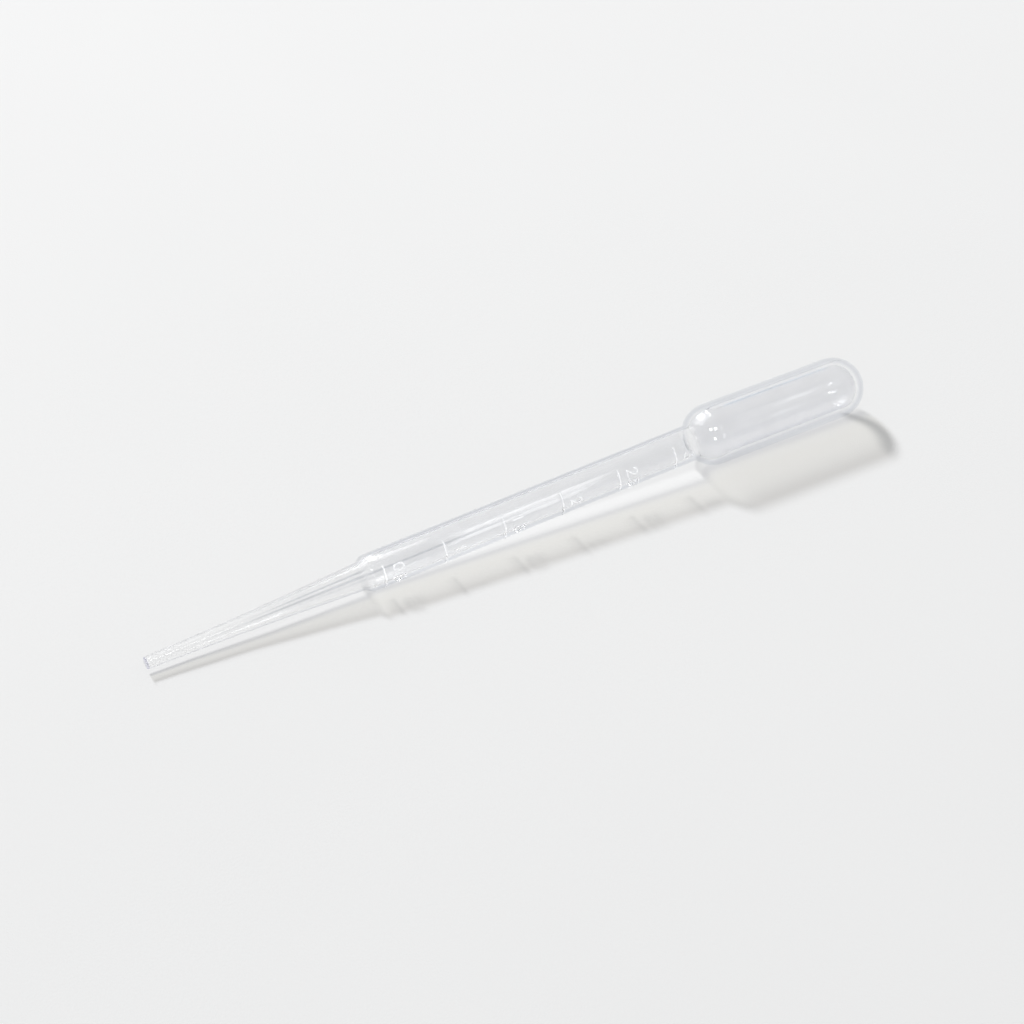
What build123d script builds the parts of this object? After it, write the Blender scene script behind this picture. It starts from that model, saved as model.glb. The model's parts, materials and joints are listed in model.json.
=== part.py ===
"""Graduated transfer pipette: one hollow polyethylene moulding, lying at rest on its side.

A drawn-out tip, cut off square, opens into a straight graduated stem, and the stem opens into a
closed squeeze bulb. The bulb is a capsule. The stem's line runs through the centre of the ball
that rounds the bulb's near end, so the neck stays a true circle at whatever angle the soft stem
leaves the bulb. The bulb lies flat along its side, and the narrower stem dips until the crown of
its step touches the same surface.

Frame: millimetres, +Z up, +X from the tip towards the bulb. The origin is on the surface that the
pipette lies on, midway along its length. The graduations face the -Y side.
"""
from build123d import *
from math import asin, atan2, cos, degrees, hypot, sin, sqrt, tan
import os

# Lengths along the pipette, in order from the open tip to the closed end
TIP_LENGTH = 44.4  # open end to the foot of the step
STEP_LENGTH = 1.5  # the sloping step up to the stem
STEM_LENGTH = 73.0  # top of the step to the neck
BULB_LENGTH = 41.1  # neck to the closed end

# Outside diameters
TIP_DIAMETER = 2.4
TIP_WAIST_DIAMETER = 3.6  # half way along the tip, where its flare opens
TIP_ROOT_DIAMETER = 5.7
STEM_DIAMETER = 7.5
BULB_DIAMETER = 12.8

# Walls: thin where the tube was drawn out, thick at the blown end of the bulb
TIP_WALL = 0.45
TIP_WAIST_WALL = 0.5
TIP_ROOT_WALL = 0.6
STEM_WALL = 0.7
BULB_WALL = 1.0
BULB_END_WALL = 1.4

# Roundings
STEP_CROWN_RADIUS = 1.2  # outside, where the step turns into the stem
STEP_FOOT_RADIUS = 0.8  # outside, where the step rises from the tip
NECK_RADIUS = 0.5  # outside, where the stem meets the bulb
NECK_LIP_RADIUS = 1.3  # inside, where the bore opens into the bulb, for an even wall

# Graduations: low ridges raised by the mould, each an arc on one side of the stem
GRADUATION_COUNT = 6
GRADUATION_PITCH = 13.0
FIRST_GRADUATION = 2.3  # top of the step to the first ridge
GRADUATION_WIDTH = 0.4
GRADUATION_HEIGHT = 0.15
GRADUATION_SWEEP = 84.0  # degrees round the stem
GRADUATION_FACING = 12.0  # degrees from level up to the middle of a ridge

stem_radius = STEM_DIAMETER / 2
bulb_radius = BULB_DIAMETER / 2

# Distances from the centre of the bulb's near ball: out along the bulb's line to its far ball,
# and out along the stem's line to each station of the stem and the tip
neck = sqrt(bulb_radius**2 - stem_radius**2)
far_ball = BULB_LENGTH - neck - bulb_radius
step_top = neck + STEM_LENGTH
step_foot = step_top + STEP_LENGTH
tip_waist = step_foot + TIP_LENGTH / 2
tip_end = step_foot + TIP_LENGTH

# The dip that sets the crown of the step down on the surface under the bulb
step_slope = atan2(stem_radius - TIP_ROOT_DIAMETER / 2, STEP_LENGTH)
crown_station = step_top - STEP_CROWN_RADIUS * tan(step_slope / 2)
crown_offset = stem_radius - STEP_CROWN_RADIUS
bulb_offset = bulb_radius - STEP_CROWN_RADIUS
stem_dip = asin(bulb_offset / hypot(crown_station, crown_offset)) - atan2(crown_offset, crown_station)

# The near ball's centre, with the two ends of the pipette equally far from the origin
tip_reach = tip_end * cos(stem_dip) + TIP_DIAMETER / 2 * sin(stem_dip)
bulb_reach = far_ball + bulb_radius
ball_centre = Vector((tip_reach - bulb_reach) / 2, 0, bulb_radius)

# The working planes: X runs out from the ball's centre along each line, and Y is the radius
stem_direction = Vector(-cos(stem_dip), 0, -sin(stem_dip))
stem_plane = Plane(origin=ball_centre, x_dir=stem_direction, z_dir=(0, 1, 0))
bulb_plane = Plane(origin=ball_centre, x_dir=(1, 0, 0), z_dir=(0, -1, 0))
stem_axis = Axis(ball_centre, stem_direction)
bulb_axis = Axis(ball_centre, (1, 0, 0))


def stem_section(stem, root, waist, end, crown_rounding, foot_rounding):
    """Half section of the stem and tip from the radius at each station, closed on the axis."""
    with BuildSketch(stem_plane) as section:
        with BuildLine():
            Polyline((tip_end, 0), (0, 0), (0, stem), (step_top, stem), (step_foot, root))
            ThreePointArc((step_foot, root), (tip_waist, waist), (tip_end, end))
            Line((tip_end, end), (tip_end, 0))
        make_face()
        fillet(section.vertices().sort_by_distance((step_top, stem))[0], crown_rounding)
        fillet(section.vertices().sort_by_distance((step_foot, root))[0], foot_rounding)
    return section.sketch


def bulb_section(radius, far_centre):
    """Half section of a capsule round the two ball centres, closed on the axis."""
    with BuildSketch(bulb_plane) as section:
        with BuildLine():
            RadiusArc((-radius, 0), (0, radius), radius)
            Line((0, radius), (far_centre, radius))
            RadiusArc((far_centre, radius), (far_centre + radius, 0), radius)
            Line((far_centre + radius, 0), (-radius, 0))
        make_face()
    return section.sketch


def ring_at(station):
    """The closed edge of the part that lies round the stem's line at this station."""
    rings = dropper_pipette.edges().filter_by(lambda edge: edge.is_closed)
    return rings.sort_by_distance(stem_plane.from_local_coords((station, 0)))[0]


with BuildPart() as dropper_pipette:
    # The outside: tip and stem, and the bulb that the stem runs into
    outer_stem = stem_section(
        stem_radius,
        TIP_ROOT_DIAMETER / 2,
        TIP_WAIST_DIAMETER / 2,
        TIP_DIAMETER / 2,
        STEP_CROWN_RADIUS,
        STEP_FOOT_RADIUS,
    )
    revolve(outer_stem, axis=stem_axis)
    revolve(bulb_section(bulb_radius, far_ball), axis=bulb_axis)
    fillet(ring_at(neck), NECK_RADIUS)

    # The graduations, as ridges swept part of the way round the stem
    sweep_start = GRADUATION_FACING - 90 - GRADUATION_SWEEP / 2
    across = Vector(0, 1, 0).rotate(stem_axis, sweep_start)
    sweep_plane = Plane(origin=ball_centre, x_dir=stem_direction, z_dir=across)
    for number in range(GRADUATION_COUNT):
        ridge = step_top - FIRST_GRADUATION - number * GRADUATION_PITCH
        with BuildSketch(sweep_plane):
            with BuildLine():
                foot = stem_radius - STEM_WALL / 2
                near, far = ridge - GRADUATION_WIDTH / 2, ridge + GRADUATION_WIDTH / 2
                Polyline((far, stem_radius), (far, foot), (near, foot), (near, stem_radius))
                crest = stem_radius + GRADUATION_HEIGHT
                ThreePointArc((near, stem_radius), (ridge, crest), (far, stem_radius))
            make_face()
        revolve(axis=stem_axis, revolution_arc=GRADUATION_SWEEP)

    # The inside: one bore from the open tip to the blown end of the bulb
    bore = stem_section(
        stem_radius - STEM_WALL,
        TIP_ROOT_DIAMETER / 2 - TIP_ROOT_WALL,
        TIP_WAIST_DIAMETER / 2 - TIP_WAIST_WALL,
        TIP_DIAMETER / 2 - TIP_WALL,
        STEP_CROWN_RADIUS - STEM_WALL,
        STEP_FOOT_RADIUS + TIP_ROOT_WALL,
    )
    revolve(bore, axis=stem_axis, mode=Mode.SUBTRACT)
    inner_far_ball = far_ball - (BULB_END_WALL - BULB_WALL)
    revolve(bulb_section(bulb_radius - BULB_WALL, inner_far_ball), axis=bulb_axis, mode=Mode.SUBTRACT)
    bore_neck = sqrt((bulb_radius - BULB_WALL) ** 2 - (stem_radius - STEM_WALL) ** 2)
    fillet(ring_at(bore_neck), NECK_LIP_RADIUS)

dropper_pipette.part.label = "dropper_pipette"
os.makedirs("parts", exist_ok=True)
export_step(dropper_pipette.part, "parts/dropper_pipette.step")

print(f"stem dips {degrees(stem_dip):.2f} degrees from the bulb's line")
print(f"volume of plastic {dropper_pipette.part.volume:.0f} mm3")
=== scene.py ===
# %% [markdown]
# # A plastic dropper pipette, made in Blender
#
# A dropper, or transfer pipette, is one hollow moulding of soft, clear polyethylene. A squeeze
# bulb opens into a graduated stem, and the stem is drawn out into a thin tip. This notebook builds
# the moulding as one closed skin with real walls, because the look of clear plastic comes from its
# two surfaces: light bends at the outside, crosses the wall, and bends again at the inside.
#
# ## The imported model
#
# The CAD model of the pipette comes in first, as the fixed frame. It gives the places: the overall
# box, and the line of the stem, which is a mount in the record.

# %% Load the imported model
import json
from math import asin, atan2, cos, degrees, pi, radians, sin, sqrt, tan

import bpy
import numpy as np
from mathutils import Matrix, Vector


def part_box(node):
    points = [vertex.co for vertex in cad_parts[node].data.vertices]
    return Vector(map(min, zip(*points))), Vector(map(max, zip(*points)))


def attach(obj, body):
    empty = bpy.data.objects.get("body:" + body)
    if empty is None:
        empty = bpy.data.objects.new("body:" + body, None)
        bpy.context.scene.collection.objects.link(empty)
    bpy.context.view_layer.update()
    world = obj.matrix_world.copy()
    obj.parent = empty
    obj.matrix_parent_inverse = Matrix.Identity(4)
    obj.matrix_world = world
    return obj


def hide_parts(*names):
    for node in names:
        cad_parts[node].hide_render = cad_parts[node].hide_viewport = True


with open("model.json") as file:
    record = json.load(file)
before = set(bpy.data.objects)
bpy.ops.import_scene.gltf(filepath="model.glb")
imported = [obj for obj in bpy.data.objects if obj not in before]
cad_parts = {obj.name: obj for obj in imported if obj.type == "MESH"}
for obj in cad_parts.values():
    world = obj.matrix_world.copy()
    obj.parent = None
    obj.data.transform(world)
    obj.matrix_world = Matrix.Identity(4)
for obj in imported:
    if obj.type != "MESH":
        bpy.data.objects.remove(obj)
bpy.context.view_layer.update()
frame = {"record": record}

MM = 0.001
_, far_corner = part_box("dropper_pipette")
stem_mount = next(mount for mount in frame["record"]["mounts"] if mount["name"] == "stem")

# %% [markdown]
# ## The sizes of the moulding
#
# A maker would draw the pipette as a half section: the distance along it from the open tip, called
# the station here, and the radius there. The same sizes are named below, in millimetres. The walls
# are thin where the tube was drawn out, and thick at the end of the bulb, where the plastic was
# blown last. The bulb is a straight tube between two half balls, and the turn from the bulb's line
# down to the stem's line is read from the record.

# %% Sizes along and across the pipette
STEP_FOOT, STEP_TOP = 44.4, 45.9  # the sloping step from the tip up to the stem
NECK, BULB_END = 118.9, 160.0  # where the stem meets the bulb, and the closed end
TIP_RADIUS, WAIST_RADIUS, ROOT_RADIUS = 1.2, 1.8, 2.85
STEM_RADIUS, BULB_RADIUS = 3.75, 6.4
TIP_WALL, WAIST_WALL, ROOT_WALL = 0.45, 0.5, 0.6
STEM_WALL, BULB_WALL, END_WALL = 0.7, 1.0, 1.4

near_ball = NECK + sqrt(BULB_RADIUS**2 - STEM_RADIUS**2)  # centre of the bulb's near round
far_ball = BULB_END - BULB_RADIUS  # centre of its far round
ball_place = Vector((far_corner.x / MM - (BULB_END - near_ball), 0, BULB_RADIUS))
dip = atan2(-stem_mount["axis"][2], -stem_mount["axis"][0])
print(f"near round at x {ball_place.x:.2f} mm, stem dips {degrees(dip):.2f} degrees")

# %% [markdown]
# ## The half section
#
# A lathe profile could be typed in point by point, but then its roundings would be guesses. Here
# the corners are typed in and a small helper rounds each one to a radius, as a mould maker would
# cut it. The tip's flare is an arc through three points, and the bulb is two quarter rounds with a
# straight side between them.

# %% Helpers for the half section
def rounded(corners, steps=6):
    """The line through (station, radius, rounding) corners, each corner rounded to its radius."""
    line = [np.array(corners[0][:2], float)]
    for before, corner, after in zip(corners, corners[1:], corners[2:]):
        at = np.array(corner[:2], float)
        back, on = np.array(before[:2]) - at, np.array(after[:2]) - at
        back, on = back / np.linalg.norm(back), on / np.linalg.norm(on)
        half = np.arccos(np.clip(back @ on, -1, 1)) / 2
        if corner[2] == 0 or half > pi / 2 - 0.01:  # a sharp corner, or hardly a corner at all
            line.append(at)
            continue
        middle = at + (back + on) / np.linalg.norm(back + on) * corner[2] / sin(half)
        first, last = (at + way * corner[2] / tan(half) - middle for way in (back, on))
        turn = pi - 2 * half
        for step in range(steps + 1):
            share = step / steps
            line.append(
                middle
                + (first * sin((1 - share) * turn) + last * sin(share * turn)) / sin(turn)
            )
    line.append(np.array(corners[-1][:2], float))
    return line


def flare(first, middle, last, steps=16):
    """Points on the arc through three points, without its two ends."""
    # Its centre is where the lines that halve the two chords from the first point cross.
    (x1, y1), (x2, y2), (x3, y3) = first, middle, last
    a, b = x2 - x1, y2 - y1
    c, d = x3 - x1, y3 - y1
    e, f = a * (x1 + x2) + b * (y1 + y2), c * (x1 + x3) + d * (y1 + y3)
    g = 2 * (a * (y3 - y2) - b * (x3 - x2))
    centre = np.array([(d * e - b * f) / g, (a * f - c * e) / g])
    start, end = np.array(first) - centre, np.array(last) - centre
    turn = np.arccos(start @ end / (np.linalg.norm(start) * np.linalg.norm(end)))
    shares = [step / steps for step in range(1, steps)]
    return [
        centre + (start * sin((1 - share) * turn) + end * sin(share * turn)) / sin(turn)
        for share in shares
    ]


def round_neck(tube, ball, rounding, steps=6):
    """The rounding where a tube's straight side runs into a ball: its points, and the angle, as
    seen from the ball's centre, at which the ball takes over."""
    height = tube + rounding
    across = sqrt((ball + rounding) ** 2 - height**2)
    middle = np.array([near_ball - across, height])
    leaves = atan2(height, -across)  # direction from the ball's centre to the rounding's centre
    turn = leaves - pi / 2
    points = []
    for step in range(steps + 1):
        angle = -pi / 2 + turn * step / steps
        points.append(middle + rounding * np.array([cos(angle), sin(angle)]))
    return points, leaves


def quarter(centre, radius, start, end, steps):
    """Points round a ball from one angle to another, measured from the line towards the bulb."""
    angles = np.linspace(start, end, steps + 1)
    return [np.array([centre + radius * cos(angle), radius * sin(angle)]) for angle in angles]


LIP_ROUNDING = 0.12  # at the cut end, outside and inside
PAST_STEP = STEP_TOP + 6  # a place on the straight stem, clear of the step's rounding


def half_section(tip, waist, root, stem, ball, last_ball, foot, crown, neck):
    """One side of the wall, from the middle of the open end's edge to the end of the bulb: its
    radii, the centre of its far round, and its roundings at the step and at the neck."""
    edge = TIP_RADIUS - TIP_WALL / 2
    arc = flare((0, tip), (STEP_FOOT / 2, waist), (STEP_FOOT, root))
    line = rounded([(0, edge, 0), (0, tip, LIP_ROUNDING), (*arc[0], 0)])[:-1] + arc[:-1]
    line += rounded(
        [(*arc[-1], 0), (STEP_FOOT, root, foot), (STEP_TOP, stem, crown), (PAST_STEP, stem, 0)]
    )
    turned, leaves = round_neck(stem, ball, neck)
    line += turned
    line += quarter(near_ball, ball, leaves, pi / 2, steps=12)[1:]
    line += quarter(last_ball, ball, pi / 2, 0, steps=20)
    return np.array(line)


# %% The outside and the inside, as half sections
outside = half_section(
    tip=TIP_RADIUS,
    waist=WAIST_RADIUS,
    root=ROOT_RADIUS,
    stem=STEM_RADIUS,
    ball=BULB_RADIUS,
    last_ball=far_ball,
    foot=0.8,
    crown=1.2,
    neck=0.5,
)
inside = half_section(
    tip=TIP_RADIUS - TIP_WALL,
    waist=WAIST_RADIUS - WAIST_WALL,
    root=ROOT_RADIUS - ROOT_WALL,
    stem=STEM_RADIUS - STEM_WALL,
    ball=BULB_RADIUS - BULB_WALL,
    last_ball=far_ball - (END_WALL - BULB_WALL),
    foot=1.4,
    crown=0.5,
    neck=1.3,
)
print(f"half sections: {len(outside)} points outside, {len(inside)} inside")

# %% [markdown]
# ## The graduations
#
# The marks are not printed. They are cut into one half of the mould, so they stand up from the
# plastic as low, rounded beads that catch the light. Each mark is a line part of the way round the
# stem, with its value in millilitres beyond it, read with the tip held down. A font would give
# sharp letters with flat tops. Strokes with a rounded section are truer to a milled mould, so
# every figure is a few bent strokes in a square of one by one, and a bead follows them.

# %% Where the marks are
MARK_COUNT, MARK_PITCH, FIRST_MARK = 6, 13.0, STEP_TOP + 2.3
MARK_VALUE = 0.5  # millilitres from one mark to the next
MARK_SWEEP = radians(84)
FACING = radians(12)  # the middle of the marks, from level on the -Y side up towards the top
FIGURE_WIDTH, FIGURE_HEIGHT, FIGURE_PITCH, POINT_WIDTH = 1.35, 2.3, 1.9, 0.25
FIGURE_RISE = 3.0  # from a line to the middle of its figures
LINE_BEAD = (0.26, 0.15)  # half width and height of a graduation line
FIGURE_BEAD = (0.24, 0.13)
PARTING_BEAD = (0.16 / STEM_RADIUS, 0.025)  # half angle and height, where the mould's halves met
PARTING_LINES = (FACING + pi / 2, FACING - pi / 2)  # angles round the pipette

FIGURES = {
    "0": [[(0.5, 1), (0.1, 0.82), (0, 0.5), (0.1, 0.18), (0.5, 0), (0.9, 0.18), (1, 0.5),
           (0.9, 0.82), (0.5, 1)]],
    "1": [[(0.2, 0.76), (0.55, 1), (0.55, 0)]],
    "2": [[(0.04, 0.76), (0.2, 0.95), (0.5, 1), (0.85, 0.92), (0.96, 0.7), (0.8, 0.47),
           (0.02, 0), (1, 0)]],
    "3": [[(0.04, 0.84), (0.3, 1), (0.72, 0.98), (0.94, 0.78), (0.82, 0.57), (0.45, 0.52)],
          [(0.45, 0.52), (0.9, 0.43), (1, 0.22), (0.78, 0.03), (0.3, 0), (0.02, 0.15)]],
    "5": [[(0.93, 1), (0.16, 1), (0.08, 0.56), (0.5, 0.63), (0.9, 0.52), (1, 0.3), (0.85, 0.06),
           (0.4, 0), (0.02, 0.12)]],
    ".": [[(0, 0.02), (0, 0.02)]],
}


def written(text):
    """Strokes for a number, centred, as points (along its reading, up) in millimetres."""
    widths = [POINT_WIDTH if character == "." else FIGURE_WIDTH for character in text]
    gap = FIGURE_PITCH - FIGURE_WIDTH
    start = -(sum(widths) + gap * (len(text) - 1)) / 2
    strokes = []
    for character, width in zip(text, widths):
        for stroke in FIGURES[character]:
            strokes.append([(start + x * width, (y - 0.5) * FIGURE_HEIGHT) for x, y in stroke])
        start += width + gap
    return strokes


marks = []  # (station of the line, strokes of its figures)
for number in range(MARK_COUNT):
    text = f"{MARK_VALUE * (number + 1):g}"
    marks.append((FIRST_MARK + number * MARK_PITCH, written(text)))
    print(f"mark {text} ml at {marks[-1][0]:.1f} mm")


# %% [markdown]
# A bead is a smooth hump: full height on the middle of its stroke, and nothing at its edge. Its
# height over the skin depends only on how far a point is from the nearest stroke, so figures,
# lines and the parting line all use the same two helpers.

# %% Helpers that raise a bead
MARK_REACH = 4.0  # from the middle of a mark, along the stem, to where it can't reach any more
BESIDE = 0.9  # how far from a stroke the plastic still counts as beside a mark
PARTING_FADE = 5.0  # the parting line fades in over this length of the tip


def distance_to(points, stroke):
    """How far each point is from a stroke of straight pieces."""
    nearest = np.full(len(points), np.inf)
    for start, end in zip(np.array(stroke[:-1]), np.array(stroke[1:])):
        run = end - start
        along = np.clip((points - start) @ run / max(run @ run, 1e-9), 0, 1)
        gap = points - start - along[:, None] * run
        nearest = np.minimum(nearest, np.hypot(gap[:, 0], gap[:, 1]))
    return nearest


def hump(distance, bead):
    """Height of a bead of (half width, height) at a distance from its middle line."""
    half_width, height = bead
    return height * np.clip(1 - (distance / half_width) ** 2, 0, None) ** 1.5


def relief(station, angle):
    """How far the marks and the parting line stand out of the outside, and how near a mark is."""
    raised = np.zeros(len(station))
    beside = np.zeros(len(station))
    reading = -(angle - FACING) * STEM_RADIUS  # figures read from the top downwards
    for line, strokes in marks:
        near = np.abs(station - line - FIGURE_RISE / 2) < MARK_REACH
        points = np.column_stack([reading[near], station[near] - line])
        reach = MARK_SWEEP / 2 * STEM_RADIUS
        distance = distance_to(points, [(-reach, 0), (reach, 0)])
        height = hump(distance, LINE_BEAD)
        points[:, 1] -= FIGURE_RISE
        for stroke in strokes:
            from_stroke = distance_to(points, stroke)
            distance = np.minimum(distance, from_stroke)
            height = np.maximum(height, hump(from_stroke, FIGURE_BEAD))
        raised[near] = height
        beside[near] = np.clip(1 - distance / BESIDE, 0, 1)
    fade = np.clip((BULB_END - station) / BULB_RADIUS, 0, 1)
    fade = fade * np.clip(station / PARTING_FADE, 0, 1)
    for line in PARTING_LINES:
        away = np.abs((angle - line + pi) % (2 * pi) - pi)
        raised = np.maximum(raised, hump(away, PARTING_BEAD) * fade)
    return raised, beside


# %% [markdown]
# ## The skin
#
# The skin is a lathe surface: rings of points along the half section. A plain lathe would need an
# even, very fine mesh to carry the beads. So the rings are close together only where there are
# marks, and the points round each ring are close only on the side that carries them. A few more
# points round each ring carry the parting line.

# %% Rings along the pipette
FINE, PLAIN = 0.1, 2.0  # spacing of the rings across the marks, and elsewhere
SLACK = 1.2  # a piece may be this much longer than the spacing
MARK_FOOT, MARK_HEAD = 0.45, FIGURE_RISE + FIGURE_HEIGHT / 2 + 0.35  # from a mark's line


def spacing_at(station):
    """How far apart the rings may be: they close up before a mark and stay close across it."""
    spacing = PLAIN
    for mark, _ in marks:
        foot = mark - MARK_FOOT
        if foot <= station < mark + MARK_HEAD:
            return FINE
        if mark - PLAIN < station < foot:
            spacing = min(spacing, max(foot - station, FINE))
    return spacing


def finer(section, with_marks):
    """The half section with points added, so that no piece of it is longer than is useful."""
    line = [section[0]]
    for start, end in zip(section[:-1], section[1:]):
        while True:
            spacing = spacing_at(line[-1][0]) if with_marks else PLAIN
            run = end - line[-1]
            gap = np.linalg.norm(run)
            if gap <= spacing * SLACK or abs(run[0]) < 1e-6:  # short, or straight across
                break
            line.append(line[-1] + run / gap * spacing)
        line.append(end)
    return np.array(line)


outside = finer(outside, True)
inside = finer(inside, False)

# %% Points round each ring
MARK_MARGIN = radians(6)  # the close points go on this far past the ends of the lines
PLAIN_POINTS = 76  # round the side without marks
CLEAR_OF_PARTING = 0.012  # radians that the plain points keep clear of the parting line's own


def angles_round():
    """Angles round the stem from level on the -Y side: fine across the marks, coarse elsewhere."""
    fine = MARK_SWEEP / 2 + MARK_MARGIN
    close = np.linspace(FACING - fine, FACING + fine, int(2 * fine * STEM_RADIUS / FINE) + 1)
    coarse = np.linspace(FACING + fine, FACING + 2 * pi - fine, PLAIN_POINTS)[1:-1]
    parting = [
        line % (2 * pi) + PARTING_BEAD[0] * share
        for line in PARTING_LINES
        for share in (-1, -0.5, 0, 0.5, 1)
    ]
    apart = [
        min(abs(angle - other) for other in parting) > CLEAR_OF_PARTING for angle in coarse
    ]
    return np.sort(np.concatenate([close, coarse[apart], parting]))


angles = angles_round()
print(f"{len(outside)} rings outside, {len(inside)} inside, {len(angles)} points round each")


# %% [markdown]
# The pipette is made straight, then bent. It lies on its side on the bulb and on the crown of the
# step, so the soft stem leaves the bulb at a small angle. The bend is a turn about the centre of
# the bulb's near round. A ball looks the same however far it is turned, so the turn fades out over
# it, and the bulb itself stays level.

# %% Place the rings in the frame
def placed(station, radius, angle):
    """Points of the pipette in metres, from station along it, radius, and angle round it."""
    x = station - near_ball
    y = -radius * np.cos(angle)
    z = radius * np.sin(angle)
    fade = np.clip(-x / (near_ball - NECK), 0, 1)  # 0 from the ball's centre on, 1 at the neck
    turn = dip * fade * fade * (3 - 2 * fade)
    bent_x = x * np.cos(turn) - z * np.sin(turn)
    bent_z = x * np.sin(turn) + z * np.cos(turn)
    points = np.column_stack([bent_x, y, bent_z]) + np.array(ball_place)
    return points * MM


def ring_points(section, raise_marks):
    """Points of every ring but the last, then the single point on the axis that closes the end."""
    station = np.repeat(section[:-1, 0], len(angles))
    radius = np.repeat(section[:-1, 1], len(angles))
    angle = np.tile(angles, len(section) - 1)
    if raise_marks:
        radius = radius + relief(station, angle)[0]
    points = placed(station, radius, angle)
    pole = placed(section[-1:, 0], np.zeros(1), np.zeros(1))
    return np.vstack([points, pole])


outer_points = ring_points(outside, True)
inner_points = ring_points(inside, False)[len(angles):]  # the first ring is the outside's own
print(f"{len(outer_points)} points outside, {len(inner_points)} inside")

# %% Join the rings into one closed skin
count = len(angles)
faces = []


def band(first, second, flip):
    """Quads between two rings, given by the number of each ring's first point."""
    for step in range(count):
        after = (step + 1) % count
        quad = [first + step, first + after, second + after, second + step]
        faces.append(quad[::-1] if flip else quad)


def cap(ring, pole, flip):
    """Triangles from a ring to the point on the axis."""
    for step in range(count):
        corner = [ring + step, ring + (step + 1) % count, pole]
        faces.append(corner[::-1] if flip else corner)


outer_rings = [number * count for number in range(len(outside) - 1)]
for first, second in zip(outer_rings, outer_rings[1:]):
    band(first, second, True)
cap(outer_rings[-1], len(outer_points) - 1, True)

inner_start = len(outer_points)
inner_rings = [0] + [inner_start + number * count for number in range(len(inside) - 2)]
for first, second in zip(inner_rings, inner_rings[1:]):
    band(first, second, False)
cap(inner_rings[-1], inner_start + len(inner_points) - 1, False)


def new_object(name, data):
    """An object that shows this mesh, lamp or camera, linked to the scene."""
    made = bpy.data.objects.new(name, data)
    bpy.context.scene.collection.objects.link(made)
    return made


skin = bpy.data.meshes.new("pipette_skin")
skin.from_pydata(np.vstack([outer_points, inner_points]).tolist(), [], faces)
skin.polygons.foreach_set("use_smooth", [True] * len(skin.polygons))
skin.validate()
skin.update()
pipette = new_object("pipette_moulding", skin)
print(f"skin: {len(skin.vertices)} points, {len(skin.polygons)} faces")

# %% [markdown]
# The finish has to know where it is on the moulding, so each point of the skin carries a few
# values. One is the station, one tells the inside from the outside, one says how far a mark or the
# parting line stands up, and one how near a mark is. The last is the place on the tube as if it had
# the same radius all along, so that lines drawn out with the tube close up towards the tip, as they
# do on a real one.

# %% Values that the skin carries
ring_stations = [outside[:-1, 0], inside[1:-1, 0]]
stations = np.concatenate(
    [np.append(np.repeat(rings, count), BULB_END) for rings in ring_stations]
).astype(np.float32)
rounds = np.concatenate([np.append(np.tile(angles, len(rings)), 0.0) for rings in ring_stations])
inner_side = (np.arange(len(stations)) >= inner_start).astype(np.float32)
raised, beside = relief(stations, rounds)
skin_values = {
    "station": stations,
    "inner_side": inner_side,
    "raised": raised / LINE_BEAD[1] * (1 - inner_side),
    "beside_mark": beside * (1 - inner_side),
}
for name, values in skin_values.items():
    made = skin.attributes.new(name, "FLOAT", "POINT")
    made.data.foreach_set("value", values.astype(np.float32))
even_tube = np.column_stack([stations, np.cos(rounds), np.sin(rounds)]).astype(np.float32)
made = skin.attributes.new("even_tube", "FLOAT_VECTOR", "POINT")
made.data.foreach_set("vector", even_tube.ravel())
print(f"marks and parting line raise {int((skin_values['raised'] > 0).sum())} points of the skin")

# %% [markdown]
# ## Clear polyethylene
#
# Polyethylene of this kind is clear but not like glass: it is a little milky, with a cool tint
# that gets stronger where the wall is thicker. Its surface is never quite even. Two effects are
# made as node groups: a soft cloudy unevenness, which the table below uses as well, and the fine
# lines that stay in plastic that was drawn out while it was hot. A tree of nodes is long to write
# out, so small helpers come first, one for each kind of step.

# %% Helpers for shader trees
def add(tree, kind, values=None, **settings):
    """A new node with its settings and the starting values of its inputs."""
    made = tree.nodes.new(kind)
    for name, value in settings.items():
        setattr(made, name, value)
    for name, value in (values or {}).items():
        made.inputs[name].default_value = value
    return made


def feed(tree, socket, value):
    """Give a socket a link, a colour or a plain number."""
    if isinstance(value, bpy.types.NodeSocket):
        tree.links.new(value, socket)
    elif isinstance(value, tuple) and socket.type == "RGBA":
        socket.default_value = (*value, 1)
    else:
        socket.default_value = value


def calculated(tree, operation, *values):
    """The result of a math node."""
    made = add(tree, "ShaderNodeMath", operation=operation)
    for socket, value in zip(made.inputs, values):
        feed(tree, socket, value)
    return made.outputs[0]


def stepped(tree, value, low, high):
    """0 below the low value, 1 above the high one, and a smooth rise between them."""
    made = add(tree, "ShaderNodeMapRange", {"From Min": low, "From Max": high})
    made.interpolation_type = "SMOOTHSTEP"
    feed(tree, made.inputs["Value"], value)
    return made.outputs[0]


def ramp(tree, value, stops):
    """A colour ramp through (place, brightness or colour) stops."""
    made = add(tree, "ShaderNodeValToRGB")
    points = made.color_ramp.elements
    points.remove(points[1])
    for number, (place, shade) in enumerate(stops):
        point = points[0] if number == 0 else points.new(place)
        point.position = place
        point.color = (*shade, 1) if isinstance(shade, tuple) else (shade, shade, shade, 1)
    feed(tree, made.inputs[0], value)
    return made.outputs[0]


def blended(tree, blend, factor, first, second):
    """Two colours mixed in one of the ways that Blender offers."""
    made = add(tree, "ShaderNodeMix", data_type="RGBA", blend_type=blend)
    for number, value in ((0, factor), (6, first), (7, second)):  # the sockets for colours
        feed(tree, made.inputs[number], value)
    return made.outputs[2]


def joined(tree, factor, first, second):
    """Two shaders mixed: the first where the factor is 0, the second where it is 1."""
    made = add(tree, "ShaderNodeMixShader")
    for socket, value in zip(made.inputs, (factor, first, second)):
        tree.links.new(value, socket)
    return made.outputs[0]


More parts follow.
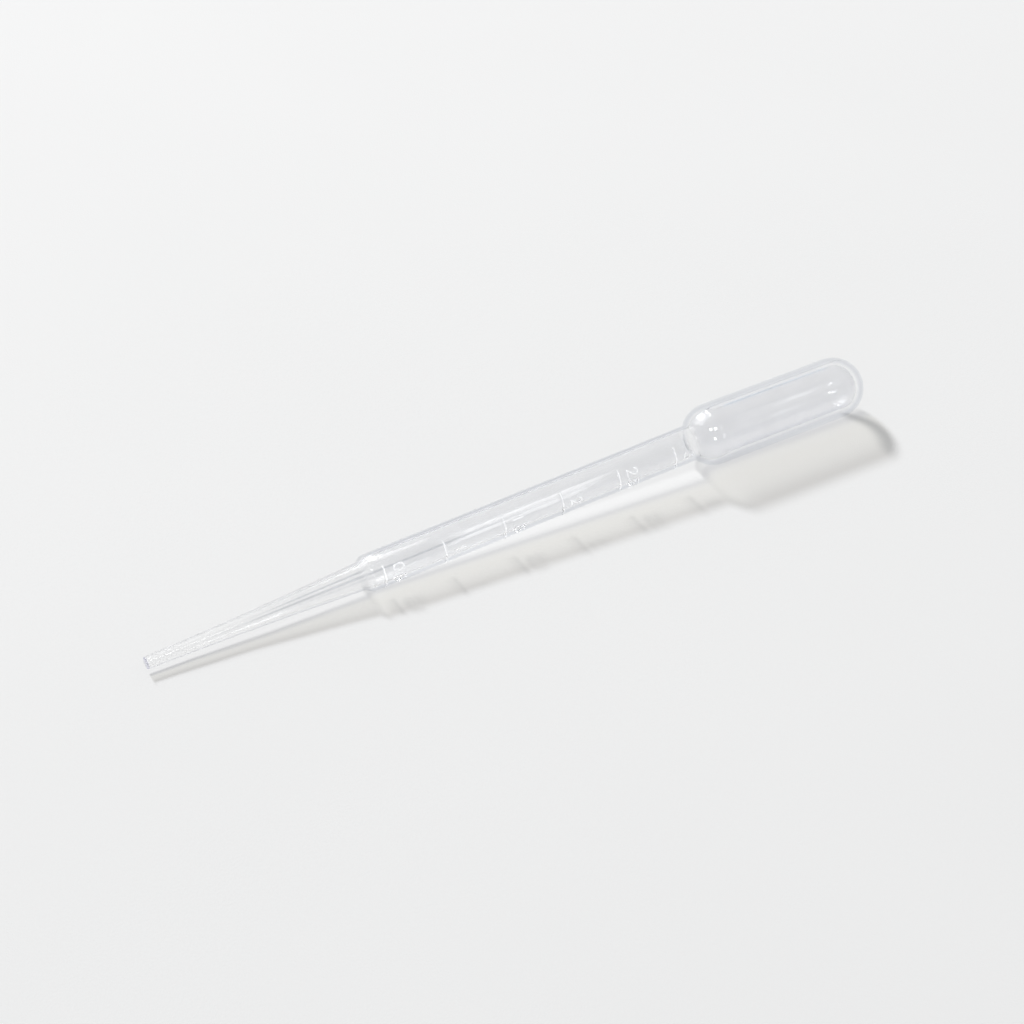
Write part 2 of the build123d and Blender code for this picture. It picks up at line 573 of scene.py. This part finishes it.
def new_material(name):
    """A material with an empty tree and its output node."""
    material = bpy.data.materials.new(name)
    material.use_nodes = True
    material.node_tree.nodes.clear()
    return material, material.node_tree, material.node_tree.nodes.new("ShaderNodeOutputMaterial")


def new_group(name, inputs, output):
    """A node group with a vector input, number inputs with their values, and one number output."""
    group = bpy.data.node_groups.new(name, "ShaderNodeTree")
    group.interface.new_socket("Vector", in_out="INPUT", socket_type="NodeSocketVector")
    for label, value in inputs.items():
        socket = group.interface.new_socket(label, in_out="INPUT", socket_type="NodeSocketFloat")
        socket.default_value = value
    group.interface.new_socket(output, in_out="OUTPUT", socket_type="NodeSocketFloat")
    given, result = group.nodes.new("NodeGroupInput"), group.nodes.new("NodeGroupOutput")
    return group, given.outputs, result.inputs


def place_group(tree, group, vector, **values):
    """One use of a node group, with its own values."""
    made = add(tree, "ShaderNodeGroup", node_tree=group)
    tree.links.new(vector, made.inputs["Vector"])
    for label, value in values.items():
        made.inputs[label].default_value = value
    return made.outputs[0]


# %% Group: soft unevenness
soft_unevenness, given, result = new_group(
    "soft_unevenness", {"Scale": 5.0, "Low": 0.0, "High": 1.0}, "Value"
)
tree = soft_unevenness
clouds = add(tree, "ShaderNodeTexNoise", {"Detail": 2.5, "Roughness": 0.55})
tree.links.new(given["Vector"], clouds.inputs["Vector"])
tree.links.new(given["Scale"], clouds.inputs["Scale"])
spread = add(tree, "ShaderNodeMapRange", {"From Min": 0.3, "From Max": 0.7})
tree.links.new(clouds.outputs[0], spread.inputs["Value"])
tree.links.new(given["Low"], spread.inputs["To Min"])
tree.links.new(given["High"], spread.inputs["To Max"])
tree.links.new(spread.outputs[0], result["Value"])

# %% Group: draw lines
draw_lines, given, result = new_group("draw_lines", {"Along": 0.02, "Around": 12.0}, "Height")
tree = draw_lines
stretch = add(tree, "ShaderNodeCombineXYZ")
tree.links.new(given["Along"], stretch.inputs["X"])
tree.links.new(given["Around"], stretch.inputs["Y"])
tree.links.new(given["Around"], stretch.inputs["Z"])
stretched = add(tree, "ShaderNodeVectorMath", operation="MULTIPLY")
tree.links.new(given["Vector"], stretched.inputs[0])
tree.links.new(stretch.outputs[0], stretched.inputs[1])
lines = add(tree, "ShaderNodeTexNoise", {"Scale": 1.0, "Detail": 3.0, "Roughness": 0.6})
tree.links.new(stretched.outputs[0], lines.inputs["Vector"])
tree.links.new(lines.outputs[0], result["Height"])
print("node groups:", [group.name for group in bpy.data.node_groups])

# %% [markdown]
# The body of the finish is the Principled shader with transmission. Low-density polyethylene is
# milky in a thick wall and almost water-clear in a thin one, so the tint comes from how far along
# the moulding a point is, because the walls get thicker from tip to bulb. That place is given as a
# share of the whole length: the step is at 0.28, the neck at 0.74, and the bulb's two rounds end
# and start at 0.78 and 0.96.
#
# Grey lines along the tip and the stem are painted shade: they stand in for the dark reflections
# and refracted shade that run along a clear tube. Each is an angle round the tube with its own
# tint, and fades in and out along the length. A grey band low on the bulb and a bluish line near
# its top are painted shade in the same way. The edge of the cut end, where the view runs along the
# wall, is painted the darkest and bluest of all.

# %% Clear polyethylene, and what it reads from the skin
FROST_ROUGHNESS = 0.16  # of the coat that frosts the marks, and of the skin under it
clear, tree, output = new_material("clear_polyethylene")
plastic = add(
    tree,
    "ShaderNodeBsdfPrincipled",
    {
        "IOR": 1.51,
        "Transmission Weight": 0.94,
        "Coat IOR": 1.8,
        "Coat Roughness": FROST_ROUGHNESS,
        # the emission is a painted glint on the frosted crests of the marks
        "Emission Strength": 0.32,
    },
)
station = add(tree, "ShaderNodeAttribute", attribute_name="station").outputs["Fac"]
mark = add(tree, "ShaderNodeAttribute", attribute_name="raised").outputs["Fac"]
inner = add(tree, "ShaderNodeAttribute", attribute_name="inner_side").outputs["Fac"]
tube = add(tree, "ShaderNodeAttribute", attribute_name="even_tube").outputs["Vector"]
place = add(tree, "ShaderNodeTexCoord").outputs["Object"]
share = calculated(tree, "MULTIPLY", station, 1 / BULB_END)  # of the length, from the tip

# %% Tint from tip to bulb
tint = ramp(
    tree,
    share,
    [
        (0.0, (0.998, 0.999, 1.0)),
        (0.27, (0.996, 0.997, 1.0)),
        (0.31, (0.982, 0.985, 0.993)),
        (0.73, (0.979, 0.982, 0.990)),
        (0.77, (0.957, 0.960, 0.973)),
        (1.0, (0.963, 0.966, 0.977)),
    ],
)
haze = place_group(tree, soft_unevenness, place, Scale=170.0, Low=0.975, High=1.0)
tint = blended(tree, "MULTIPLY", 1.0, tint, haze)


# %% Painted shade lines along the tube
def along_line(line, half_width, shares):
    """1 on a line that runs along the tube: its degrees up round the tube from level on the -Y
    side, its half width in degrees, and four shares where it comes, is full, and goes again."""
    turned = add(tree, "ShaderNodeVectorMath", operation="DOT_PRODUCT")
    turned.inputs[1].default_value = (0, cos(radians(line)), sin(radians(line)))
    tree.links.new(tube, turned.inputs[0])
    edge, middle = cos(radians(half_width)), cos(radians(half_width / 3))
    on_line = stepped(tree, turned.outputs["Value"], edge, middle)
    stretch = ramp(tree, share, list(zip(shares, (0.0, 1.0, 1.0, 0.0))))
    return calculated(tree, "MULTIPLY", on_line, stretch)


# Painted shade: each line stands in for dark reflected and refracted shade that runs along the tube
PAINTED_SHADE_LINES = [  # degrees round the tube, half width, tint, and the shares where it comes and goes
    (44, 7.0, (0.64, 0.66, 0.70), (0.07, 0.15, 0.27, 0.285)),
    (65, 6.0, (0.62, 0.64, 0.68), (0.12, 0.19, 0.27, 0.285)),
    (26, 5.0, (0.78, 0.79, 0.82), (0.17, 0.24, 0.27, 0.285)),
    (44, 4.5, (0.77, 0.78, 0.81), (0.275, 0.285, 0.38, 0.50)),
    (98, 4.5, (0.61, 0.72, 0.87), (0.785, 0.80, 0.945, 0.955)),
    (1, 8.0, (0.85, 0.86, 0.90), (0.77, 0.80, 0.95, 0.97)),
]
for line, half_width, shade, shares in PAINTED_SHADE_LINES:
    tint = blended(tree, "MIX", along_line(line, half_width, shares), tint, shade)
print(f"{len(PAINTED_SHADE_LINES)} lines along the tube")

# %% Tint of the marks, with painted shade on their flanks and at the cut end
flank = stepped(tree, mark, 0.02, 0.2)  # the steep sides of a mark, as shares of its height
frost = stepped(tree, mark, 0.25, 0.55)  # its crest
# Painted shade: the steep sides of a mark are tinted grey, as if they turned the light away
tint = blended(tree, "MIX", flank, tint, (0.80, 0.82, 0.86))
tint = blended(tree, "MIX", frost, tint, (1.0, 1.0, 1.0))
# Painted shade: the cut end is tinted a dark blue-grey, where the view runs along the wall
cut_end = stepped(tree, station, 0.5, 0.25)
tint = blended(tree, "MIX", cut_end, tint, (0.50, 0.50, 0.62))
tree.links.new(tint, plastic.inputs["Base Color"])

# %% [markdown]
# The raised marks come out of the mould with frosted crests, and a rough coat makes the frost.
# Their steep sides are tinted grey as painted shade, and a very faint speckled glow on the crests
# is a painted glint that stands for the light the frost scatters. The rest of the skin is nearly
# polished, with a soft waviness where the bulb and the stem were blown, and draw lines all along.
# The bump that makes them is two thousandths of a millimetre high: on clear plastic, even that
# bends the light enough to see.

# %% Frost on the marks, and a painted glint on their crests
tree.links.new(frost, plastic.inputs["Coat Weight"])
# Painted glint: a faint speckled glow on the frosted crests
painted_glint_speckle = place_group(tree, soft_unevenness, place, Scale=2400.0, Low=0.0, High=1.0)
tree.links.new(calculated(tree, "MULTIPLY", frost, painted_glint_speckle), plastic.inputs["Emission Color"])

dull = place_group(tree, soft_unevenness, place, Scale=420.0, Low=0.02, High=0.07)
rough = calculated(tree, "MULTIPLY_ADD", frost, FROST_ROUGHNESS, dull)
tree.links.new(rough, plastic.inputs["Roughness"])

# %% Unevenness of the skin
BUMP_HEIGHT = 0.002 * MM
drawn = place_group(tree, draw_lines, tube, Along=0.02, Around=4.0)
much_drawn = ramp(tree, share, [(0.0, 0.1), (0.3, 0.4), (0.78, 0.35)])
drawn = calculated(tree, "MULTIPLY", drawn, much_drawn)
wavy = place_group(tree, soft_unevenness, place, Scale=260.0, Low=0.0, High=0.9)
much_blown = ramp(tree, share, [(0.0, 0.1), (0.26, 0.2), (0.31, 1.0)])
wavy = calculated(tree, "MULTIPLY", wavy, much_blown)
bump = add(tree, "ShaderNodeBump", {"Strength": 1.0, "Distance": BUMP_HEIGHT})
tree.links.new(calculated(tree, "ADD", drawn, wavy), bump.inputs["Height"])
tree.links.new(bump.outputs[0], plastic.inputs["Normal"])
print(f"clear polyethylene so far: {len(tree.nodes)} nodes")

# %% [markdown]
# ## How light passes the moulding
#
# A tube of clear plastic throws a shadow with a pattern of its own: the walls gather light along
# the side near the tube, the middle lets it through with a warm tint, and the rims and the thick
# end of the bulb hold it back. A renderer finds such patterns slowly, with a lot of noise. The
# plain way out is to let shadow rays straight through and to colour them by where they cross the
# skin. The crossing is measured against the key lamp, which stands at one place, so its way comes
# first. Across the tube, -1 is the side of the shadow that lies furthest off and 1 is the side
# that lies under the tube.

# %% The key lamp's way, and what the light meets
def direction(elevation, azimuth):
    """The way towards a lamp, from its height and its bearing in degrees from +X."""
    up, bearing = radians(elevation), radians(azimuth)
    return Vector((cos(up) * cos(bearing), cos(up) * sin(bearing), sin(up)))


KEY_WAY = direction(38.0, 96.0)
NEAR_SIDE = Vector((0, KEY_WAY.z, -KEY_WAY.y)).normalized()  # square to the light, under the tube

geometry = add(tree, "ShaderNodeNewGeometry")
outward = calculated(tree, "MULTIPLY_ADD", geometry.outputs["Backfacing"], -2.0, 1.0)


def lean(way):
    """How far the outward normal leans towards a way, from -1 to 1."""
    along = add(tree, "ShaderNodeVectorMath", operation="DOT_PRODUCT")
    along.inputs[1].default_value = way
    tree.links.new(geometry.outputs["Normal"], along.inputs[0])
    return calculated(tree, "MULTIPLY", along.outputs["Value"], outward)


across = lean(NEAR_SIDE)
towards_end = lean(Vector((1, 0, 0)))
print(f"the key lamp stands {degrees(asin(KEY_WAY.z)):.0f} degrees up")

# %% [markdown]
# The shadow's own near edge comes where the tube starts to gather light: just past it the table is
# a little brighter than elsewhere, just inside it is a thin dark line, and then the warm middle.
# That edge drifts along the pipette with the tube's height over the table, so it is a ramp over the
# length. The colours are a second ramp over the distance from that edge, on a scale where the edge
# is at 0.7. The thin tip holds less light back in its middle and has a darker edge, so it has a
# ramp of its own.

# %% The light's colour across the tube
EDGE_AT, EDGE_SCALE = 0.7, 0.4
GATHERED = 0.08  # how much brighter the light is that the wall gathers
near_edge = ramp(
    tree,
    share,
    [(0.0, 0.97), (0.05, 0.95), (0.08, 0.85), (0.15, 0.70), (0.2, 0.63), (0.27, 0.58),
     (0.38, 0.57), (0.55, 0.515), (0.745, 0.47), (0.76, 0.60), (0.79, 0.585), (0.86, 0.56),
     (0.92, 0.53), (1.0, 0.51)],
)
past_edge = calculated(tree, "SUBTRACT", across, near_edge)
past_edge = calculated(tree, "MULTIPLY_ADD", past_edge, EDGE_SCALE, EDGE_AT)
warmth = ramp(
    tree,
    past_edge,
    [
        (0.10, (0.83, 0.82, 0.80)),
        (0.20, (0.875, 0.865, 0.845)),
        (0.30, (0.920, 0.910, 0.885)),
        (0.42, (0.937, 0.927, 0.900)),
        (0.50, (0.946, 0.936, 0.906)),
        (0.60, (0.962, 0.955, 0.932)),
        (0.645, (0.85, 0.85, 0.855)),
        (0.675, (0.80, 0.80, 0.815)),
        (EDGE_AT, 1.0),
    ],
)
tip_warmth = ramp(
    tree,
    past_edge,
    [
        (0.25, (0.80, 0.79, 0.77)),
        (0.36, (0.90, 0.89, 0.865)),
        (0.50, (0.95, 0.94, 0.91)),
        (0.56, (0.90, 0.895, 0.88)),
        (0.62, (0.68, 0.68, 0.69)),
        (0.675, (0.66, 0.66, 0.68)),
        (EDGE_AT, 1.0),
    ],
)
of_thin_tip = ramp(tree, share, [(0.10, 1.0), (0.24, 0.0)])
warmth = blended(tree, "MIX", of_thin_tip, warmth, tip_warmth)
past_wall = stepped(tree, past_edge, EDGE_AT, EDGE_AT + 0.06)
gathered = calculated(tree, "MULTIPLY_ADD", past_wall, GATHERED, 1.0)

# %% [markdown]
# The far edge of the shadow is soft and a little darker than the middle. The bulb's two rounds need
# more care. Towards the neck the light is held back where it glances off the skin. At the blown end
# the wall is thickest, and the shadow has a broad dark rim there that runs out on the table's side.
# How far aside the light crosses the round, from 0 in its middle to 1 at its outline, is worked out
# from the glancing angle, and it is divided by how far the rim reaches on that side.

# %% The far rim
far_edge = ramp(
    tree,
    share,
    [(0.0, 0.37), (0.03, 0.36), (0.07, 0.335), (0.12, 0.32), (0.177, 0.24), (0.24, 0.17),
     (0.33, 0.12), (0.5, 0.085), (0.74, 0.045), (1.0, 0.04)],
)
far_edge = calculated(tree, "MULTIPLY_ADD", far_edge, 2.0, -1.0)  # a ramp can't go below 0
inside_far = calculated(tree, "SUBTRACT", across, far_edge)
far_rim = ramp(
    tree,
    inside_far,
    [(0.0, (0.86, 0.855, 0.85)), (0.14, (0.87, 0.86, 0.855)), (0.42, 0.96), (0.7, 1.0)],
)

# %% The two rounds of the bulb
glancing = add(tree, "ShaderNodeLayerWeight", {"Blend": 0.5}).outputs["Facing"]
neck_rim = ramp(tree, glancing, [(0.2, 1.0), (0.45, 0.87), (0.75, 0.76), (1.0, 0.72)])
aside = calculated(tree, "POWER", calculated(tree, "SUBTRACT", 1.0, glancing), 2.0)
aside = calculated(tree, "SQRT", calculated(tree, "SUBTRACT", 1.0, aside))
across_share = calculated(tree, "MULTIPLY_ADD", across, 0.5, 0.5)
reach = ramp(tree, across_share, [(0.26, 1.0), (0.46, 0.93), (0.6, 0.83), (0.7, 0.70)])
end_rim = ramp(
    tree,
    calculated(tree, "DIVIDE", aside, reach),
    [(0.36, 1.0), (0.52, 0.88), (0.66, 0.60), (0.78, 0.47), (0.92, 0.46), (1.0, 0.88)],
)
near_neck = stepped(tree, towards_end, -0.08, -0.3)
rim = blended(tree, "MIX", near_neck, far_rim, neck_rim)
clear_of_table = stepped(tree, across, 0.72, 0.5)
blown_end = calculated(tree, "MULTIPLY", stepped(tree, towards_end, 0.08, 0.45), clear_of_table)
rim = blended(tree, "MIX", blown_end, rim, end_rim)

# %% All that holds light back, together
BY_MARK = -0.24  # change in the light where it crosses the thicker plastic of a mark
beside = add(tree, "ShaderNodeAttribute", attribute_name="beside_mark").outputs["Fac"]
past_mark = calculated(tree, "MULTIPLY_ADD", beside, BY_MARK, 1.0)
by_place = ramp(  # the tip, a dark line and a bright one at the step, the stem, and the bulb
    tree,
    share,
    [(0.0, 0.93), (0.274, 0.95), (0.279, 0.89), (0.282, 0.93), (0.286, 1.02), (0.30, 1.0),
     (0.74, 1.0), (0.8, 0.968)],
)
cast = warmth
for held_back in (rim, past_mark, by_place, gathered):
    cast = blended(tree, "MULTIPLY", 1.0, cast, held_back)
in_shadow_of_tube = stepped(tree, inside_far, -0.1, 0.02)
cast = blended(tree, "MIX", in_shadow_of_tube, (1.0, 1.0, 1.0), cast)
cast = blended(tree, "MIX", inner, cast, (0.99, 0.99, 0.99))
print(f"clear polyethylene with its shadow: {len(tree.nodes)} nodes")

# %% [markdown]
# The edges of a thin wall are seen nearly end on, and there the eye finds a fine grey line and not
# a lens. So past about four fifths of the radius the view goes straight through, and in the tip,
# whose wall is thinnest, a part of it does so everywhere. At the rounding of the neck most of it
# does, and at the flanks of the marks less.

# %% What the eye sees straight through the edges of stem and bulb
BODY_EDGE = (0.77, 0.81)  # the view turns straight between these shares of the radius
THICK_END = 0.1  # how much more the thick end of the bulb counts as facing aside


def towards_edge(facing, shares):
    """0 where the view passes the axis of a round wall nearer than the first share of its radius,
    1 where it passes it further off than the second. How much a wall faces aside is 1 less the
    cosine of its angle, and the share of the radius is the sine."""
    first, second = (1 - sqrt(1 - offset**2) for offset in shares)
    return stepped(tree, facing, first, second)


at_end = ramp(tree, share, [(0.955, 0.0), (0.985, 1.0)])
thick_end = calculated(tree, "MULTIPLY", at_end, THICK_END)
of_body = towards_edge(calculated(tree, "ADD", glancing, thick_end), BODY_EDGE)

# %% What it sees straight through the tip
ROOT_EDGE, TIP_EDGE = (0.68, 0.84), (0.50, 0.72)  # near the step, and near the cut end
MOST_OF_TIP = 0.95  # of the view goes straight at the edges of the tip
LEAST_OF_TIP = 0.35  # of it does so everywhere in the tip,
MORE_OF_TIP = 0.25  # and this much more near the cut end and on the underside
narrow = ramp(tree, share, [(0.11, 1.0), (0.18, 0.0)])
of_root = towards_edge(glancing, ROOT_EDGE)
of_tip = towards_edge(glancing, TIP_EDGE)
of_tip = calculated(tree, "MULTIPLY", blended(tree, "MIX", narrow, of_root, of_tip), MOST_OF_TIP)
underside = along_line(-5, 45.0, (0.08, 0.13, 0.27, 0.285))
more = calculated(tree, "MAXIMUM", narrow, underside)
least = calculated(tree, "MULTIPLY_ADD", more, MORE_OF_TIP, LEAST_OF_TIP)
of_tip = calculated(tree, "MAXIMUM", of_tip, least)
thin_walled = ramp(tree, share, [(0.26, 1.0), (0.3, 0.0)])
entering = blended(tree, "MIX", thin_walled, of_body, of_tip)

# %% [markdown]
# A view that enters straight has to stay straight through every further skin, and one that enters
# bent has to stay bent, or the two mix into a dashed rim. The Light Path node's transmission depth
# tells them apart: it counts how often the view has been bent so far.

# %% Neck, marks, and every further skin
LESS_AT_FLANK = -0.4  # change at the flanks of the marks
at_neck = ramp(tree, share, [(0.722, 0.0), (0.731, 0.8), (0.740, 0.8), (0.743, 0.0)])
entering = calculated(tree, "MAXIMUM", entering, at_neck)
off_flank = calculated(tree, "MULTIPLY_ADD", flank, LESS_AT_FLANK, 1.0)
entering = calculated(tree, "MULTIPLY", entering, off_flank)
path = add(tree, "ShaderNodeLightPath")
unbent = calculated(tree, "LESS_THAN", path.outputs["Transmission Depth"], 0.5)  # not even once
further_in = calculated(tree, "MAXIMUM", inner, geometry.outputs["Backfacing"])
thin_edge = calculated(tree, "MAXIMUM", entering, further_in)
thin_edge = calculated(tree, "MULTIPLY", thin_edge, unbent)

# %% [markdown]
# The view that goes straight is greyed by how near the edge it crosses the outside. This grey is
# painted shade: it stands in for the darkening that a bent view finds at the rims. Two painted
# shade lines come on top of that: a broad one under the tip, where the view runs along the wall for
# longest, and a fine one near the upper edge of the stem. The inside adds nothing, or every edge
# would count twice. The edge of the cut end has its own painted bluish grey.

# %% The painted grey shade of the edges
# Painted shade: the straight view is greyed more the nearer it crosses the rim
painted_edge_shade = ramp(
    tree,
    glancing,
    [
        (0.34, 1.0),
        (0.42, (0.965, 0.968, 0.974)),
        (0.5, (0.915, 0.922, 0.937)),
        (0.6, (0.895, 0.903, 0.919)),
        (0.75, (0.925, 0.932, 0.944)),
        (1.0, (0.96, 0.963, 0.97)),
    ],
)
painted_tip_edge_shade = ramp(
    tree,
    glancing,
    [(0.35, 1.0), (0.47, (0.955, 0.957, 0.963)), (0.6, (0.93, 0.933, 0.94)), (1.0, 0.92)],
)
painted_edge_shade = blended(tree, "MIX", thin_walled, painted_edge_shade, painted_tip_edge_shade)
# Painted shade lines under the tip and along the top of the stem, and a painted bluish grey at the
# cut end
under_tip = along_line(-42, 26.0, (0.0, 0.005, 0.27, 0.29))
painted_edge_shade = blended(tree, "MIX", under_tip, painted_edge_shade, (0.89, 0.895, 0.91))
painted_edge_shade = blended(tree, "MIX", cut_end, painted_edge_shade, (0.84, 0.84, 0.89))
over_stem = along_line(113, 5.0, (0.29, 0.31, 0.72, 0.75))
painted_edge_shade = blended(tree, "MIX", over_stem, painted_edge_shade, (0.80, 0.81, 0.84))
painted_edge_shade = blended(tree, "MIX", inner, painted_edge_shade, (1.0, 1.0, 1.0))

# %% [markdown]
# The Light Path node picks between the two ways: shadow rays and the light that bounces off the
# table go straight. So does light that has already been turned five times inside the walls. It
# would stay trapped until the renderer gave it up, and leave black rings at the neck and the end.

# %% Join the two ways
MOST_TURNS = 4.5  # light that has met more skins than this goes straight out
passing = add(tree, "ShaderNodeBsdfTransparent")
in_shadow = path.outputs["Is Shadow Ray"]
tree.links.new(blended(tree, "MIX", in_shadow, painted_edge_shade, cast), passing.inputs["Color"])
straight = calculated(tree, "MAXIMUM", in_shadow, path.outputs["Is Diffuse Ray"])
trapped = calculated(tree, "GREATER_THAN", path.outputs["Ray Depth"], MOST_TURNS)
straight = calculated(tree, "MAXIMUM", straight, trapped)
straight = calculated(tree, "MAXIMUM", straight, thin_edge)
surface = joined(tree, straight, plastic.outputs[0], passing.outputs[0])
tree.links.new(surface, output.inputs["Surface"])
skin.materials.append(clear)
print(f"clear polyethylene: {len(tree.nodes)} nodes")

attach(pipette, "root")
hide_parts("dropper_pipette")

# %% [markdown]
# ## The table
#
# The pipette lies on a plain pale surface, like a sheet of card. A single flat face is enough for
# it, so large that its edge is never seen. Its colour is not quite the same everywhere, and a very
# fine grain keeps it from looking like a flat fill.

# %% Floor
HALF_SIDE = 3.0
PALE = (0.874, 0.873, 0.872)
GRAIN_HEIGHT = 0.012 * MM
floor_mesh = bpy.data.meshes.new("floor")
corners = [(x * HALF_SIDE, y * HALF_SIDE, 0) for x, y in ((-1, -1), (1, -1), (1, 1), (-1, 1))]
floor_mesh.from_pydata(corners, [], [(0, 1, 2, 3)])
floor = new_object("floor", floor_mesh)
paper, tree, output = new_material("pale_floor")
matt = add(tree, "ShaderNodeBsdfPrincipled", {"Roughness": 0.9, "Specular IOR Level": 0.0})
place = add(tree, "ShaderNodeTexCoord").outputs["Object"]
uneven = place_group(tree, soft_unevenness, place, Scale=9.0, Low=0.994, High=1.006)
shade = blended(tree, "MULTIPLY", 1.0, PALE, uneven)
tree.links.new(shade, matt.inputs["Base Color"])
grain = add(tree, "ShaderNodeBump", {"Strength": 1.0, "Distance": GRAIN_HEIGHT})
fibres = place_group(tree, soft_unevenness, place, Scale=2600.0, Low=0.0, High=1.0)
tree.links.new(fibres, grain.inputs["Height"])
tree.links.new(grain.outputs[0], matt.inputs["Normal"])
tree.links.new(matt.outputs[0], output.inputs["Surface"])
floor_mesh.materials.append(paper)
print(f"floor {2 * HALF_SIDE:.0f} m wide")

# %% [markdown]
# ## Light
#
# One broad key lamp makes the shadow and most of the light, and the surroundings fill in the rest.
# Shiny plastic also needs something to mirror. In a studio that is done with white cards round the
# object, so here each card is an area lamp that lights nothing matt and only shows in the plastic.
# Each card is turned so that its width lies along the pipette and its height across it. A tube
# draws what it mirrors out along its length, so a card shows there as a long bright line.

# %% Helpers that place lamps and cards
def lamp(name, toward, distance, wide, power, tall=None):
    """An area lamp that faces the pipette: a disc, or a rectangle where it has a height."""
    data = bpy.data.lights.new(name, "AREA")
    data.shape, data.size, data.energy = "DISK", wide, power
    if tall:
        data.shape, data.size_y = "RECTANGLE", tall
    made = new_object(name, data)
    made.location = toward * distance
    made.rotation_euler = (-toward).to_track_quat("-Z", "Y").to_euler()
    return made


def card_way(along, rise):
    """The way towards a card: its share along the pipette, and its angle up over the table from
    the side that the marks face."""
    level = sqrt(1 - along**2)
    return Vector((along, -cos(radians(rise)) * level, sin(radians(rise)) * level))


def card(name, along, rise, wide, tall, brightness):
    """A bright card one metre away that only shows in reflections and through the plastic."""
    way = card_way(along, rise)
    made = lamp(name, way, 1.0, wide, brightness * wide * tall * pi, tall)
    side = (Vector((1, 0, 0)) - way * way.x).normalized()  # along the pipette, square to its way
    made.rotation_euler = Matrix((side, way.cross(side), way)).transposed().to_euler()
    made.visible_diffuse = False
    made.visible_camera = False


# %% Key lamp
KEY_DISTANCE = 4.4
key = lamp("key_lamp", KEY_WAY, KEY_DISTANCE, wide=0.60, power=166.0)
key.visible_glossy = key.visible_transmission = False
on_floor = key.data.energy * KEY_WAY.z / (pi * KEY_DISTANCE) ** 2
print(f"key lamp gives {on_floor:.2f} of the light on the table")

# %% Cards
CARDS = {  # share along, rise, width, height in metres, and brightness
    "window_card": (-0.22, 137, 0.34, 0.38, 4.4),
    "window_glow": (-0.32, 131, 0.80, 0.75, 1.8),
    "overhead_card": (0.203, 110, 0.045, 0.22, 2.4),
    "tip_card": (0.158, 132, 0.085, 0.60, 7.5),
    "front_card_high": (0.300, 59, 0.10, 0.32, 2.4),
    "front_card_low": (0.302, 25, 0.09, 0.30, 2.2),
    "bulb_glow": (0.515, 64, 0.08, 0.44, 0.5),
    "bulb_card": (0.513, 67, 0.016, 0.20, 1.8),
    "spot_left": (-0.38, 66.6, 0.20, 0.20, 9.0),
    "spot_right": (-0.08, 60.9, 0.22, 0.22, 9.0),
    "spot_low": (-0.31, 24.4, 0.20, 0.20, 9.0),
}
for name, (along, rise, wide, tall, brightness) in CARDS.items():
    card(name, along, rise, wide, tall, brightness)
print(f"{len(CARDS)} cards stand round the pipette")

# %% [markdown]
# The world is three things in one. The camera sees a pale backdrop, matt surfaces get an even
# fill, and clear plastic sees a room that is bright overhead and dimmer and bluer towards the
# skyline. Where the plastic bends the view as far as the skyline, it shows as a thin blue-grey
# edge.

# %% Surroundings
world = bpy.data.worlds.new("surroundings")
bpy.context.scene.world = world
world.use_nodes = True
tree = world.node_tree
tree.nodes.clear()
output = tree.nodes.new("ShaderNodeOutputWorld")
seen = add(tree, "ShaderNodeBackground", {"Color": (*PALE, 1), "Strength": 1.0})
fill = add(tree, "ShaderNodeBackground", {"Color": (0.985, 0.995, 1.0, 1), "Strength": 0.46})
room = add(tree, "ShaderNodeBackground", {"Strength": 1.0})
toward = add(tree, "ShaderNodeSeparateXYZ")
tree.links.new(add(tree, "ShaderNodeTexCoord").outputs["Generated"], toward.inputs[0])
by_height = ramp(
    tree,
    toward.outputs["Z"],
    [
        (0.0, (0.52, 0.56, 0.65)),
        (0.10, (0.55, 0.58, 0.64)),
        (0.3, (0.62, 0.64, 0.67)),
        (0.6, (0.68, 0.69, 0.71)),
        (1.0, (0.66, 0.67, 0.69)),
    ],
)
tree.links.new(by_height, room.inputs["Color"])
path = add(tree, "ShaderNodeLightPath")
glassy = calculated(
    tree, "MAXIMUM", path.outputs["Is Glossy Ray"], path.outputs["Is Transmission Ray"]
)
around = joined(tree, glassy, fill.outputs[0], room.outputs[0])
around = joined(tree, path.outputs["Is Camera Ray"], around, seen.outputs[0])
tree.links.new(around, output.inputs["Surface"])
print(f"surroundings: {len(tree.nodes)} nodes")

# %% [markdown]
# ## Camera
#
# The camera stands in front of the marks, a little towards the tip, and looks down at the middle
# of the pipette. So the pipette lies across the picture at a slant, and its numbers can be read. A
# long lens from not quite half a metre keeps the two ends nearly the same size.

# %% Camera
VIEW_AZIMUTH, VIEW_ELEVATION, VIEW_DISTANCE = radians(28.42), radians(44.20), 0.440
LENS = 77.1
aim = Vector((0.32, 5.05, 0)) * MM
look = Vector(
    (
        sin(VIEW_AZIMUTH) * cos(VIEW_ELEVATION),
        cos(VIEW_AZIMUTH) * cos(VIEW_ELEVATION),
        -sin(VIEW_ELEVATION),
    )
)
camera_data = bpy.data.cameras.new("camera")
camera_data.sensor_width = 36
camera_data.lens = LENS
camera_data.clip_start = 0.01
camera = new_object("camera", camera_data)
camera.location = aim - look * VIEW_DISTANCE
camera.rotation_euler = look.to_track_quat("-Z", "Y").to_euler()
bpy.context.scene.camera = camera
bpy.context.scene.view_settings.view_transform = "Standard"
print(f"camera {VIEW_DISTANCE:.2f} m away, {degrees(VIEW_ELEVATION):.0f} degrees up")
